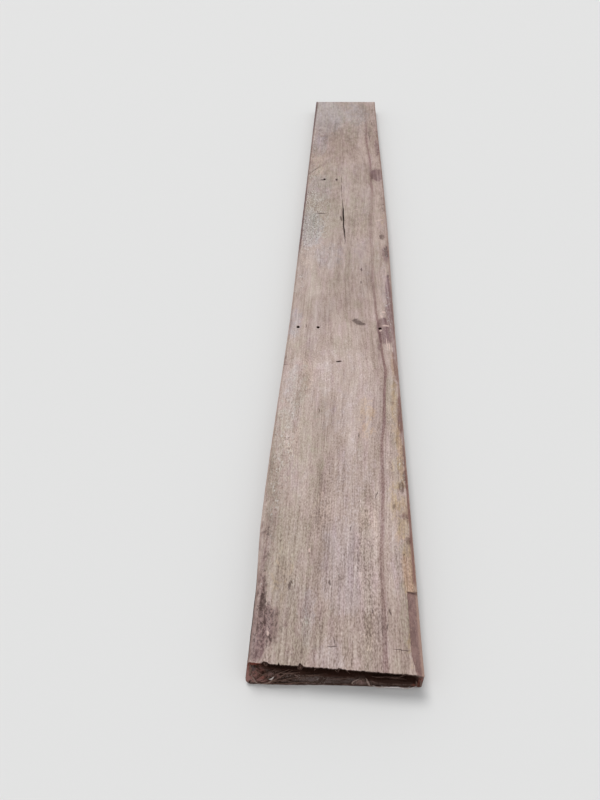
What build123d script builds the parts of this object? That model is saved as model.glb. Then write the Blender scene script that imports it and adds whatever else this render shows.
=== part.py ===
"""Wide sawn hardwood board, old and weathered, lying flat on its underside.

The board is one piece of timber. Its far end is a square saw cut. Its near end is a rough
slanting cut that has opened along a growth ring, so that a thin lip overhangs a dark split.

Origin: middle of the board's outer box, on the underside. +X runs across the board to the right,
+Y along it from the split end to the saw cut, +Z up. Sizes are in millimetres.
"""

import os

from build123d import *

# Timber as sawn
length = 2868.0
width = 300.0
thickness = 50.0
top_arris_radius = 3.0
under_arris_radius = 2.0

# Wander of the two long edges from straight, with places along the board from its near end
left_belly = 11.5
left_belly_end = 333.0
left_waist_place = 1153.0
left_far_narrowing = 3.0
right_crown = 5.0
right_crown_place = 1653.0
right_waist_place = 903.0
right_far_narrowing = 2.0

# Near end: how far each corner of the slanting cut lies behind the proud lower left corner
top_left_set_back = 17.5
top_right_set_back = 9.5
under_right_set_back = 9.0
left_wane = 8.0

# Split under the lip of the near end, with drops measured down from the lip's underside
split_lip = 5.0
split_end_wood = 6.0
split_tip_drop = 2.0
split_middle_drop = 16.0
split_right_drop = 18.0
split_depth = 45.0
split_root_inset = 30.0
split_root_drop = 6.0
split_root_share = 0.1

# Sliver torn from the right top arris, from the near end up to a square step
sliver_width = 20.0
sliver_inner_drop = 2.0
sliver_outer_drop = 8.0
sliver_length = 166.0

# Chips broken from the lip of the near end, each at its distance from the left edge
chip_places = (38.5, 100.0, 167.0)
chip_radius = 4.5

# Spike holes right through the board, in two rows across it
spike_radius = 4.5
spike_mouth_wear = 1.5
near_row_place = 983.0
near_row_from_left = (37.0, 94.0, 269.5)
far_row_place = 1964.0
far_row_from_left = (83.5, 133.0)

# Long drying check in the top face
check_length = 345.0
check_width = 4.0
check_depth = 14.0
check_taper = 6.0
check_place = 1619.0
check_from_left = 163.0
check_slant = 1.9

# Short gouge across the grain of the top face
gouge_length = 15.0
gouge_width = 4.0
gouge_depth = 4.0
gouge_place = 832.0
gouge_from_left = 154.0

# Lines that the features are set out from
left_edge = -(left_belly + width + right_crown) / 2
left_line = left_edge + left_belly
right_line = left_line + width
right_edge = right_line + right_crown
near_end = -length / 2
far_end = length / 2
top_left_corner = (left_edge + left_wane, near_end + top_left_set_back)
top_right_corner = (right_line, near_end + top_right_set_back)
overshoot = 2.0


def draw_outline(near_left, near_right):
    """Draws the plan outline of one face, closed by the line between its two near corners."""
    belly_point = (left_edge, near_end + left_belly_end)
    left_waist = (left_line, near_end + left_waist_place)
    far_left = (left_line + left_far_narrowing, far_end)
    far_right = (right_line - right_far_narrowing, far_end)
    crown_point = (right_edge, near_end + right_crown_place)
    right_waist = (right_line, near_end + right_waist_place)
    Line(near_left, belly_point)
    Spline(belly_point, left_waist, tangents=((0, 1), (0, 1)))
    Line(left_waist, far_left)
    Line(far_left, far_right)
    Spline(far_right, crown_point, tangents=((0, -1), (0, -1)))
    Spline(crown_point, right_waist, tangents=((0, -1), (0, -1)))
    Line(right_waist, near_right)
    Line(near_right, near_left)


def draw_split(share):
    """Draws the split's section, drawn in to its root line as share falls from 1 to 0."""
    inset = split_root_inset * (1 - share)
    left_x = top_left_corner[0] + split_end_wood + inset
    shoulder_x = right_line - sliver_width - inset
    right_x = right_line - split_end_wood - inset

    def height(drop):
        return -split_root_drop + (split_root_drop - drop) * share

    tip = (left_x, height(split_tip_drop))
    middle = ((left_x + right_x) / 2, height(split_middle_drop))
    shoulder = (shoulder_x, height(0))
    right_foot = (right_x, height(split_right_drop))
    Line(tip, shoulder)
    Line(shoulder, right_foot)
    ThreePointArc(right_foot, middle, tip)


def lip_spot(from_left):
    """Returns the point on the near end's top edge at a distance from the left edge."""
    reach = (left_edge + from_left - top_left_corner[0]) / (top_right_corner[0] - top_left_corner[0])
    rise = top_right_corner[1] - top_left_corner[1]
    return (left_edge + from_left, top_left_corner[1] + rise * reach)


with BuildPart() as hardwood_board:
    # Slab ruled between the outline of the underside and that of the top
    with BuildSketch(Plane.XY):
        with BuildLine():
            draw_outline((left_edge, near_end), (right_line, near_end + under_right_set_back))
        make_face()
    with BuildSketch(Plane.XY.offset(thickness)):
        with BuildLine():
            draw_outline(top_left_corner, top_right_corner)
        make_face()
    loft(ruled=True)

    # Eased long arrises, top and underside
    long_edges = hardwood_board.edges().filter_by(lambda edge: edge.length > width * 1.2)
    top_edges = long_edges.group_by(Axis.Z)[-1]
    under_edges = long_edges.group_by(Axis.Z)[0]
    fillet(top_edges, radius=top_arris_radius)
    fillet(under_edges, radius=under_arris_radius)

    # Split that opens the near end under its lip
    mouth = Plane(
        origin=(0, near_end - overshoot, thickness - split_lip), x_dir=(1, 0, 0), z_dir=(0, -1, 0)
    )
    with BuildSketch(mouth):
        with BuildLine():
            draw_split(1)
        make_face()
    with BuildSketch(mouth.offset(-split_depth)):
        with BuildLine():
            draw_split(split_root_share)
        make_face()
    loft(mode=Mode.SUBTRACT)

    # Sliver gone from the right top arris
    with BuildSketch(Plane.XZ.offset(-near_end - sliver_length)):
        with BuildLine():
            Polyline(
                (right_line - sliver_width, thickness + overshoot),
                (right_line - sliver_width, thickness - sliver_inner_drop),
                (right_edge + overshoot, thickness - sliver_outer_drop),
                (right_edge + overshoot, thickness + overshoot),
                close=True,
            )
        make_face()
    extrude(amount=sliver_length + overshoot, mode=Mode.SUBTRACT)

    # Chips gone from the lip of the near end
    with BuildSketch(Plane.XY.offset(thickness + overshoot)):
        with Locations(*[lip_spot(place) for place in chip_places]):
            Circle(chip_radius)
    extrude(amount=-overshoot - split_lip - overshoot, mode=Mode.SUBTRACT)

    # Spike holes with worn mouths
    near_row = [(left_edge + x, near_end + near_row_place, thickness) for x in near_row_from_left]
    far_row = [(left_edge + x, near_end + far_row_place, thickness) for x in far_row_from_left]
    with Locations(*near_row, *far_row):
        Hole(spike_radius)
    chamfer(hardwood_board.edges(Select.LAST).filter_by(GeomType.CIRCLE), spike_mouth_wear)

    # Drying check, a long pointed groove in the top face
    with BuildSketch(Plane.XY.offset(thickness)):
        with Locations(Location((left_edge + check_from_left, near_end + check_place), check_slant)):
            with BuildLine():
                ThreePointArc((0, -check_length / 2), (check_width / 2, 0), (0, check_length / 2))
                ThreePointArc((0, check_length / 2), (-check_width / 2, 0), (0, -check_length / 2))
            make_face()
    extrude(amount=-check_depth, taper=check_taper, mode=Mode.SUBTRACT)

    # Gouge across the grain
    with BuildSketch(Plane.XY.offset(thickness - gouge_depth)):
        with Locations((left_edge + gouge_from_left, near_end + gouge_place)):
            SlotOverall(gouge_length, gouge_width)
    extrude(amount=gouge_depth + overshoot, mode=Mode.SUBTRACT)

hardwood_board.part.label = "hardwood_board"

os.makedirs("parts", exist_ok=True)
export_step(hardwood_board.part, "parts/hardwood_board.step")
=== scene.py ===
"""Wide weathered hardwood board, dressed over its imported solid. Lengths are in metres."""

import functools
import math

import bpy
import numpy as np
from mathutils import Matrix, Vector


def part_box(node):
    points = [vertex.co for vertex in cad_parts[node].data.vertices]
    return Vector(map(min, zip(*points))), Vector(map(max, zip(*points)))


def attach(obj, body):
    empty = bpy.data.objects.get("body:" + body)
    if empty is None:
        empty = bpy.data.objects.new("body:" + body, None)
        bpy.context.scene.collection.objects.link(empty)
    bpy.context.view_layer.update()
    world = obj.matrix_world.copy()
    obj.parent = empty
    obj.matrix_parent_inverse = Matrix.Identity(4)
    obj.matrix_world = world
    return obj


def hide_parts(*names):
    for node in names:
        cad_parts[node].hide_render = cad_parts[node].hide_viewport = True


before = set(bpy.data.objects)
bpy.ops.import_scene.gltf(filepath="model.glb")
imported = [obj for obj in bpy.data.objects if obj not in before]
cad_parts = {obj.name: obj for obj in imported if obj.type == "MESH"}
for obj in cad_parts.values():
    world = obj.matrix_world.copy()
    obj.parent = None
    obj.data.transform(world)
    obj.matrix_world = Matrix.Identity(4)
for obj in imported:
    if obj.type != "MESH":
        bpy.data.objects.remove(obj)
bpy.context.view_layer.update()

MM = 0.001

# The board's box, and the lines that its long edges wander from
low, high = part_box("hardwood_board")
LEFT, RIGHT = low.x, high.x
NEAR, FAR = low.y, high.y
THICK = high.z
LENGTH = FAR - NEAR
LEFT_BELLY = 11.5 * MM
LEFT_BELLY_END = 333 * MM
LEFT_WAIST_PLACE = 1153 * MM
LEFT_FAR_NARROWING = 3 * MM
RIGHT_CROWN = 5 * MM
RIGHT_CROWN_PLACE = 1653 * MM
RIGHT_WAIST_PLACE = 903 * MM
RIGHT_FAR_NARROWING = 2 * MM
RIGHT_LINE = RIGHT - RIGHT_CROWN
ARRIS = 3 * MM
UNDER_ARRIS = 2 * MM
WANE = 8 * MM
WANE_FROM = 120 * MM
WANE_TO = 310 * MM
FOOT_WEAR = 7 * MM
FOOT_WEAR_HEIGHT = 15 * MM
FOOT_WEAR_REACH = 70 * MM

# Near end, with the split under its lip
TOP_LEFT_SET_BACK = 17.5 * MM
TOP_RIGHT_SET_BACK = 9.5 * MM
UNDER_RIGHT_SET_BACK = 9 * MM
LEAN_REACH = 95 * MM
END_HOLLOW = 1.6 * MM
LEFT_CORNER_WEAR = 2 * MM
RIGHT_CORNER_WEAR = 1.5 * MM
CORNER_WEAR_REACH = 3 * MM
LIP = 4.6 * MM
SPLIT_DEPTH = 40 * MM
SPLIT_INSET = 30 * MM
SPLIT_LEFT = LEFT + 15 * MM
SPLIT_RIGHT = RIGHT_LINE - 6 * MM
# Chips in the lip: distance from the left, half width and depth, in millimetres
CHIPS = (
    (38.5, 5.5, 3), (62, 1, 4.4), (100, 4.4, 4.4), (121, 1.3, 1), (143, 3.2, 0.7), (167, 4, 2),
    (184, 2.4, 0.8), (207, 3.6, 0.9), (233, 2.6, 0.6), (281, 3, 0.5),
)
# Lower edge of the split: distance from the left and height, in millimetres
SPLIT_FOOT = (
    (15, 43.5), (33, 40), (47, 37), (99, 35.5), (144, 33), (160, 29.5), (190, 27), (212, 24), (250, 25.5),
    (290, 22), (307, 17),
)

# Sliver torn from the right arris
SLIVER_WIDTH = 20 * MM
SLIVER_LENGTH = 166 * MM
SLIVER_INNER_DROP = 2 * MM
SLIVER_OUTER_DROP = 8 * MM
SLIVER_TAPER = 50 * MM
SLIVER_NARROWING = 10.5 * MM
SLIVER_LINE = RIGHT_LINE - SLIVER_WIDTH

# Spike holes: distance from the left, distance along and radius, in millimetres
SPIKE_HOLES = ((37, 983, 4.4), (94, 983, 4.2), (269.5, 983, 4.4), (83.5, 1964, 4.4), (133, 1964, 4))
# Sides and section of a spike hole: height and how much wider it is there, in millimetres
SPIKE_SIDES = 24
SPIKE_SECTION = ((-1, 0), (12, 0), (26, 0.1), (40, 0), (47.6, 0.1), (49.2, 0.9), (51.5, 1.7))
# Torn wood beside the far spike holes: an oval's place, half sizes in millimetres and turn in degrees
TORN_MOUTHS = ((80, 1960, 17, 7, 28), (137, 1968, 11, 5, -30))
TORN_MOUTH_DEPTH = 2.2 * MM

# Line of the drying check: distance from the left, distance along and width, in millimetres
CHECK_LINE = (
    (167.5, 1449, 0.6), (168.4, 1477, 1.8), (166.5, 1508, 2.8), (165.3, 1552, 3.4), (161.5, 1583, 3.6),
    (162.1, 1627, 4.6), (161.5, 1658, 4.4), (160.3, 1702, 3.8), (157.5, 1745, 2), (157.1, 1789, 0.6),
)
CHECK_DEPTH = 14 * MM
CHECK_STATIONS = 72
# Gouge across the grain: its place, its half sizes in millimetres and its sides
GOUGE = (154, 832)
GOUGE_RADII = (7.6, 2.3, 4)
GOUGE_SIDES = 20

# Mesh of the board: spacing of its rings and columns, and rows of each part of a ring and of an end
COLUMN_STEP = 1.5 * MM
ROW_STEP = 4.6 * MM
ROW_GROWTH = 0.005
SIDE_ROWS = 8
UNDER_COLUMNS = 40
LIP_ROWS = 5
FLOOR_ROWS = 14
LEDGE_ROWS = 18
NEAR_EXTRA_COLUMNS = 6
FAR_COLUMNS, FAR_ROWS = 61, 11
CAP_INSET = 0.5 * MM
SHARP_ANGLE = math.radians(38)
# How far in from the long edges the columns of the top face follow their wander
EDGE_BLEND = 80 * MM
SLIVER_BLEND = 16.5 * MM
# Parts of the bake map for the sheets of the two ends
NEAR_RECT = (0.015, 0.87, 0.55, 0.985)
FAR_RECT = (0.62, 0.87, 0.985, 0.985)
# Wear of the long sides, with their seeds, and of the arrises
SIDE_WEAR = 0.45 * MM
RIGHT_SEED, LEFT_SEED = 33, 35
ARRIS_WEAR = 0.4 * MM
# How far from the dark streak the grain follows its wander
GRAIN_PULL = 130 * MM

# Fibres of each splinter, sides of a fibre, and its size as a share of the splinter's
STRANDS = 3
STRAND_SIDES = 6
STRAND_SHARE = 0.55

# Line of the dark streak: distance along and distance from the left, in millimetres
STREAK_LINE = (
    (0, 245.5), (200, 246.5), (255, 246.5), (305, 250.5), (405, 255.5), (505, 257.5), (555, 259),
    (605, 265.5), (705, 270.5), (755, 273.5), (800, 277.5), (855, 272.5), (955, 268.5), (1055, 261.5),
    (1255, 253.5), (1405, 260.5), (1505, 256.5), (1655, 258.5), (1755, 266.5), (1855, 270), (1955, 266.5),
    (2105, 270), (2205, 265.5), (2305, 259.5), (2405, 256), (2505, 260), (2870, 262),
)
# Half width of the streak along the board, in the same way
STREAK_WIDTH = (
    (0, 6.2), (300, 5.4), (600, 4.8), (800, 4.6), (1100, 4.4), (1250, 7), (1700, 7.2), (1850, 5.4),
    (2350, 5.6), (2870, 5),
)

# How strong each look is along the board: distance along in mm and strength. The tone makes the wood
# lighter or darker, flecks, streaks, grain and broad are grain of different sizes, cool is a cold tinge,
# the rims run along the left edge, the dark one painted shade, and the torn strip along the right one.
ALONG = {
    "streak_strength": (
        (0, 0.6), (400, 0.68), (650, 0.95), (950, 1), (1150, 0.6), (1300, 0.38), (1750, 0.42), (1900, 0.75),
        (2350, 0.75), (2500, 0.5), (2700, 0.15), (2870, 0),
    ),
    "tone": (
        (0, 0), (200, 0.01), (420, 0.03), (800, 0.09), (1150, 0.06), (1500, 0.01), (1900, -0.02),
        (2250, -0.07), (2450, -0.1), (2650, -0.07), (2870, -0.02),
    ),
    "flecks": ((0, 1.05), (350, 1.05), (800, 0.85), (1400, 0.6), (2870, 0.45)),
    "streaks": ((0, 0.98), (350, 0.9), (800, 0.8), (1400, 0.7), (2870, 0.5)),
    "grain": ((0, 0), (500, 0.1), (1400, 0.35), (1900, 0.5), (2870, 0.6)),
    "broad": ((0, 0.45), (350, 0.6), (800, 0.5), (1000, 0.35), (1500, 0.3), (2870, 0.2)),
    "cool": (
        (0, 0.25), (1000, 0.2), (1300, 0.5), (1950, 0.55), (2150, 0.15), (2350, 0.05), (2600, 1), (2870, 1),
    ),
    "dark_rim_shade": (
        (0, 0), (1300, 0), (1450, 0.7), (1800, 0.8), (1920, 0.3), (2450, 0.35), (2560, 0.8), (2870, 0.9),
    ),
    "pale_rim": ((0, 0.15), (250, 0.3), (500, 0.9), (1250, 0.8), (1450, 0.2), (2870, 0.2)),
    "torn_strip": ((0, 0), (175, 0), (190, 1), (420, 1), (500, 0.4), (900, 0.3), (2870, 0.3)),
}

# Stains and rough crust: distance from the left, distance along, half width and half length in mm, and
# strength
STAINS = {
    "dirt": (
        (23, 136, 6, 17, 1.3), (21, 123, 7, 8, 0.8), (22, 176, 6, 26, 0.3), (20, 290, 14, 90, 0.25),
        (28, 92, 22, 44, 0.45), (38, 68, 7, 9, 0.7), (45, 113, 7, 12, 0.35), (43, 54, 8, 10, 0.4),
        (17, 34, 10, 9, 0.4), (36, 14, 10, 8, 0.6), (26, 8, 14, 8, 0.4), (60, 12, 20, 5, 0.4),
        (94, 1540, 10, 40, 0.3), (9, 830, 6, 50, 0.4), (300, 278, 6, 12, 0.75), (299, 335, 9, 9, 0.45),
        (296, 412, 6, 20, 0.85), (277, 361, 4, 8, 0.5), (307, 440, 5, 50, 0.6), (308, 520, 5, 30, 0.5),
        (14, 2100, 7, 240, 0.25), (8, 420, 7, 120, 0.25), (289, 678, 5, 10, 0.5), (294, 1503, 9, 22, 0.8),
        (304, 1400, 7, 50, 0.5), (307, 1720, 7, 42, 0.5), (14, 1480, 6, 90, 0.3), (306, 1260, 6, 60, 0.4),
        (304, 2440, 7, 50, 0.35), (297, 770, 3, 24, 0.4), (292, 190, 16, 10, 0.3),
    ),
    "purple": (
        (24, 86, 34, 52, 0.8), (18, 64, 20, 44, 1.2), (16, 150, 13, 50, 0.6), (46, 112, 10, 14, 0.7),
        (8, 240, 12, 90, 0.4), (12, 340, 9, 90, 0.3), (287, 975, 26, 60, 1.3), (301, 1045, 13, 80, 1),
        (302, 1160, 12, 120, 0.75), (302, 1390, 12, 60, 0.75), (292, 2004, 26, 56, 1.3),
        (307, 640, 10, 70, 1), (303, 1780, 10, 90, 0.45), (308, 465, 8, 60, 0.5), (307, 830, 9, 100, 0.75),
        (302, 2300, 11, 110, 0.55), (306, 330, 6, 70, 0.4), (306, 2520, 7, 140, 0.36),
        (262, 900, 8, 60, 0.4), (298, 338, 10, 10, 0.7), (14, 1560, 6, 170, 0.75), (14, 1880, 6, 150, 0.55),
        (15, 2480, 6, 330, 0.5),
    ),
    "ochre": (
        (301, 212, 17, 64, 0.85), (300, 320, 13, 90, 0.6), (297, 640, 14, 120, 0.65),
        (301, 790, 10, 90, 0.55), (52, 180, 30, 80, 0.2), (294, 60, 10, 40, 0.35), (302, 480, 12, 80, 0.8),
        (286, 370, 20, 110, 0.5), (225, 630, 24, 80, 0.35), (300, 1620, 10, 60, 0.25),
    ),
    "green": (
        (66, 205, 48, 170, 0.75), (80, 60, 44, 70, 0.6), (288, 655, 17, 130, 1), (296, 366, 13, 28, 1.1),
        (296, 312, 13, 26, 1), (297, 258, 14, 18, 1.1), (290, 460, 14, 60, 0.6), (282, 400, 20, 100, 0.4),
        (16, 480, 18, 200, 0.75), (60, 800, 34, 250, 0.3), (95, 520, 36, 150, 0.35), (50, 470, 20, 80, 0.4),
        (287, 120, 12, 90, 0.45), (78, 1660, 84, 180, 0.9), (236, 1690, 70, 190, 0.4),
        (90, 2010, 110, 160, 0.4), (192, 2410, 42, 130, 0.5), (112, 420, 7, 120, 0.45),
    ),
    "lichen": (
        (38, 1650, 42, 260, 1.1), (80, 1640, 40, 220, 0.6), (24, 1240, 22, 160, 0.4),
        (40, 1990, 34, 160, 0.5), (30, 560, 28, 280, 0.5), (18, 860, 16, 150, 0.3),
        (300, 1060, 14, 120, 0.45), (300, 1330, 12, 180, 0.3), (298, 520, 12, 220, 0.2),
        (24, 2300, 18, 200, 0.35),
    ),
    "lilac": (
        (107, 112, 13, 58, 1), (150, 30, 30, 46, 0.6), (178, 215, 52, 110, 0.9), (196, 430, 50, 120, 0.35),
        (150, 750, 80, 200, 0.3), (240, 1350, 60, 240, 0.25), (220, 210, 24, 110, 0.8),
        (276, 250, 14, 100, 0.6), (22, 1000, 24, 80, 0.8), (50, 1560, 46, 150, 0.8),
        (292, 1180, 14, 100, 0.6), (60, 2330, 44, 90, 0.6),
    ),
    "brown": (
        (150, 2310, 84, 170, 0.6), (196, 1200, 74, 230, 0.6), (236, 2010, 50, 120, 0.75),
        (118, 400, 7, 110, 0.7), (116, 205, 6, 60, 0.6), (130, 240, 24, 50, 0.75), (272, 90, 24, 90, 0.5),
        (225, 1100, 30, 190, 0.5), (210, 1010, 18, 18, 1), (254, 2740, 44, 120, 0.7),
        (281, 2380, 12, 110, 0.85), (230, 1560, 50, 60, 0.2), (104, 1080, 60, 76, 1),
        (282, 1310, 14, 170, 0.75), (124, 620, 30, 80, 0.6), (170, 2470, 40, 80, 0.5),
        (302, 780, 10, 110, 0.6), (22, 290, 18, 130, 1), (304, 1380, 10, 90, 0.8), (20, 1120, 16, 180, 0.5),
        (48, 1080, 30, 80, 0.5), (34, 160, 30, 46, 0.55), (298, 930, 8, 80, 0.4), (22, 1640, 12, 180, 0.8),
        (298, 2030, 10, 60, 0.5), (124, 2180, 26, 70, 0.4), (20, 2790, 14, 80, 0.6),
        (298, 2790, 8, 70, 0.4), (175, 780, 26, 80, 0.4),
    ),
    "blue": (
        (74, 2660, 88, 240, 1), (210, 2700, 70, 180, 0.55), (60, 2420, 60, 90, 0.6),
        (110, 1380, 60, 90, 0.6), (112, 130, 13, 56, 0.4), (24, 1000, 26, 80, 0.6),
        (50, 1560, 46, 140, 0.8), (66, 1880, 50, 120, 0.9), (50, 2310, 34, 130, 0.9),
        (44, 700, 30, 160, 0.5),
    ),
    "pale": (
        (56, 1880, 56, 120, 0.9), (40, 2320, 32, 120, 0.55), (80, 1380, 66, 110, 0.45),
        (150, 800, 120, 90, 0.15), (20, 960, 22, 80, 0.3), (46, 640, 28, 200, 0.45),
        (66, 2320, 40, 90, 0.45), (276, 480, 12, 70, 0.45), (84, 1890, 34, 90, 0.5),
        (107, 112, 11, 52, 0.35), (48, 2030, 30, 100, 0.8), (222, 1560, 30, 100, 0.4),
        (82, 1570, 34, 110, 0.35), (62, 780, 40, 90, 0.6), (222, 230, 24, 170, 0.65),
        (126, 350, 22, 50, 0.4), (281, 620, 10, 70, 0.5), (298, 165, 8, 40, 0.5), (40, 2170, 36, 90, 0.55),
        (46, 2470, 30, 80, 0.45), (298, 2470, 10, 70, 0.5), (250, 2620, 50, 70, 0.3),
    ),
    "crust": (
        (26, 88, 34, 56, 0.9), (20, 36, 30, 38, 0.6), (18, 150, 13, 60, 0.8), (46, 112, 10, 14, 0.9),
        (286, 975, 22, 50, 0.35), (298, 1060, 14, 80, 0.4), (300, 300, 8, 60, 0.3), (22, 300, 14, 110, 0.4),
    ),
}
# Stains of the near end, with the height in place of the distance along
END_STAINS = {
    "rust": (
        (14, 46, 18, 7, 1.5), (3, 36, 8, 20, 1.3), (304, 18, 14, 26, 0.8), (250, 24, 30, 10, 0.35),
        (24, 24, 22, 16, 0.7), (120, 40, 20, 5, 0.5), (100, 38, 7, 12, 0.6), (34, 8, 20, 8, 0.5),
        (30, 42, 14, 5, 0.7),
    ),
    "ashen": (
        (205, 15, 17, 8, 0.7), (262, 1.5, 32, 2.2, 0.9), (12, 16, 14, 12, 0.7), (50, 22, 9, 6, 0.9),
        (300, 36, 12, 10, 0.5), (130, 14, 34, 10, 0.6), (90, 24, 30, 8, 0.5),
    ),
    "rosy": (
        (3, 20, 9, 18, 1.3), (16, 24, 16, 18, 0.8), (24, 12, 12, 5, 1), (48, 20, 24, 12, 0.6),
        (36, 10, 14, 5, 0.9), (60, 5, 30, 5, 0.6), (312, 24, 6, 26, 0.9),
    ),
    "slate": ((16, 34, 7, 8, 1), (34, 30, 20, 12, 0.6), (150, 16, 60, 12, 0.7), (98, 12, 30, 8, 0.5)),
}

# Splinters of the near end: points by distance from the left, distance out from the end and height in
# mm, then half width, half thickness and paleness
SPLINTERS = (
    (((191, 0, 8), (190, 3, 16), (194, 4, 24), (203, 2, 28)), 1.2, 0.5, 0.8),
    (((199, 0, 10), (198, 3, 18), (203, 4, 25), (212, 2, 27)), 1, 0.5, 0.65),
    (((212, 0, 27), (217, 3, 20), (221, 4, 12), (226, 1, 5)), 1.5, 0.5, 0.8),
    (((222, 0, 9), (233, 3, 7), (244, 3, 6), (253, 1, 5.5)), 1.1, 0.6, 1.2),
    (((240, 0, 6), (252, 3, 5), (264, 2.5, 6.5), (277, 3, 5), (291, 0, 6)), 1.3, 0.7, 1.6),
    (((268, 0, 6), (280, 3, 4.5), (294, 2, 5), (303, 0, 8)), 1.1, 0.6, 1.4),
    (((231, -9, 19), (244, -3, 29), (260, -1, 34), (275, -3, 35), (286, -10, 38)), 1.1, 0.6, 0.14),
    (((240, -7, 19), (256, -2, 27), (272, -1, 30), (291, -6, 17)), 1.2, 0.6, 0.1),
    (((252, -10, 21), (262, -4, 31), (270, -2, 34), (281, -6, 41)), 1.1, 0.6, 0.2),
    (((214, -8, 20), (226, -3, 27), (240, -2, 29), (252, -8, 22)), 1.3, 0.6, 0.18),
    (((100, -6, 48.8), (100, -5, 44), (99, -3, 38), (98, 0, 30)), 3.6, 2.2, 0.16),
    (((35, -5, 48.5), (37, -3, 43), (39, -0.5, 36)), 1.6, 0.8, 0.2),
    (((42, -6, 48.5), (41, -3, 43), (40, -0.5, 36)), 1.4, 0.8, 0.1),
    (((167, -5, 48.5), (166, -3, 43), (164, -1, 36)), 1.8, 0.8, 0.12),
    (((13, 0, 25), (18, 2, 16), (23, 2.5, 9), (29, 0, 3)), 1.4, 0.6, 0.75),
    (((58, 0, 20), (48, 3, 14), (38, 3, 8), (28, 0, 3)), 1.6, 0.7, 0.7),
    (((43, 0, 16), (48, 3.5, 19), (53, 1, 23)), 2.4, 0.8, 1.3),
    (((30, 0, 5), (46, 2.5, 12), (64, 2.5, 24), (87, 0, 36)), 1.5, 0.7, 0.42),
    (((26, 0, 8), (44, 2, 20), (62, 2, 30), (84, -1, 37)), 1.3, 0.7, 0.3),
    (((38, 0, 7), (56, 2, 13), (78, 2, 20), (102, 0, 24)), 1.3, 0.7, 0.3),
    (((20, 0, 12), (30, 2, 22), (44, 2, 31), (60, -1, 36)), 1.2, 0.7, 0.2),
    (((44, 0, 4), (66, 2, 8), (92, 2, 11), (118, 0, 10)), 1.4, 0.7, 0.28),
    (((19, 0, 34), (26, 2.5, 28), (34, 2.5, 25), (43, 0, 27)), 1.2, 0.5, 0.4),
    (((9, 0, 44), (12, 2, 36), (12, 2.5, 28), (10, 0, 18)), 1.5, 0.6, 0.45),
    (((60, 0, 29), (79, 2.5, 32), (98, 1, 33)), 1.4, 0.6, 0.35),
    (((104, 0, 27), (122, 2, 30), (141, 0, 29)), 1.1, 0.5, 0.3),
    (((150, 0, 21), (166, 2, 24), (181, 0, 23)), 1.2, 0.5, 0.35),
    (((70, 0, 16), (92, 2, 12), (118, 0, 13)), 1.3, 0.5, 0.3),
    (((157, -3, 45.5), (160, -1, 41), (163, -1, 36)), 0.35, 0.3, 0.4),
    (((176, -3, 45.5), (180, -1, 41), (186, 0, 36)), 0.35, 0.3, 0.4),
    (((128, -3, 45.5), (125, -1, 41), (123, -1, 37)), 0.6, 0.4, 0.2),
    (((304, 0, 34), (307, 1.5, 24), (308, 1.5, 12), (306, 0, 3)), 1.4, 0.6, 0.45),
    (((298, 0, 30), (300, 2, 18), (299, 0, 6)), 1.2, 0.6, 0.3),
)

# Small marks: distance from the left and along, half width and half length in mm, turn in degrees
# Some dark marks are painted shade: the three beside the drying check, from 1560 to 1660 mm along
DARK_MARKS_AND_SHADE = (
    (154, 53.5, 9, 1.7, 3), (274, 53.5, 16, 1.4, -3), (157, 64, 1.5, 7, 12), (70, 167, 2.6, 9, -6),
    (74, 176, 2, 4, 30), (146, 178, 1.9, 7, 4), (221, 1292, 3, 10, 0), (153, 1634, 3.6, 22, 8),
    (158, 1660, 2.6, 50, 3), (162, 1560, 2.4, 50, 3), (152, 1880, 1.4, 40, 0), (151, 1960, 1.3, 36, 1),
    (153, 1815, 1, 24, 2), (241, 391, 1.1, 11, -20), (199, 1020, 6, 11, -45), (209, 1009, 19, 10, -40),
    (219, 1002, 10, 7, 0), (156, 834, 8, 3, 4), (78, 1671, 20, 4.2, -2), (66, 1683, 1.6, 14, 15),
    (79, 1959, 14, 7.5, 30), (131, 1957, 4.5, 12, 8), (40, 2048, 2.4, 48, -30), (60, 988, 1.2, 9, 0),
    (12, 815, 9, 1.2, 4), (219, 1218, 2, 9, 0), (110, 643, 1.2, 8, 0), (205, 563, 1.2, 9, 4),
    (118, 1423, 1.6, 10, 0), (186, 303, 1.1, 8, -4), (226, 123, 1.4, 6, 8), (252, 95, 2, 7, -10),
    (258, 123, 1.6, 6, 12), (287, 2560, 1.6, 34, 2), (270, 2420, 1.6, 60, 3), (22, 128, 4.5, 6, 0),
    (20, 141, 3.5, 8, -5), (26, 134, 3, 5, 20), (19, 118, 3, 4, 0), (27, 121, 2.5, 4, 0),
    (42, 62, 1.6, 4, 10),
)
PALE_MARKS = (
    (290, 1625, 18, 2.4, 32), (38, 72, 2.6, 5, 10), (205, 1703, 12, 1.2, 30), (104, 247, 2.2, 5, 0),
    (286, 996, 11, 4, -4), (271, 973, 4, 4, 0), (286, 915, 1.6, 24, 2), (292, 906, 1.6, 22, 2),
    (283, 1062, 5, 5, 0), (276, 1040, 3, 9, 10),
)


# Shaping functions, all over numpy arrays


def ease(value, start=0.0, end=1.0):
    """Rises smoothly from 0 at start to 1 at end."""
    t = np.clip((value - start) / (end - start), 0, 1)
    return t * t * (3 - 2 * t)


def cell_value(i, j, seed):
    """Repeatable random number from -1 to 1 for each whole-numbered cell."""
    n = (i.astype(np.int64) * 374761393 + j.astype(np.int64) * 668265263 + seed * 974711) & 0xFFFFFFFF
    n = ((n ^ (n >> 13)) * 1274126177) & 0xFFFFFFFF
    return ((n ^ (n >> 16)) & 0xFFFF) / 32767.5 - 1


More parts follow.
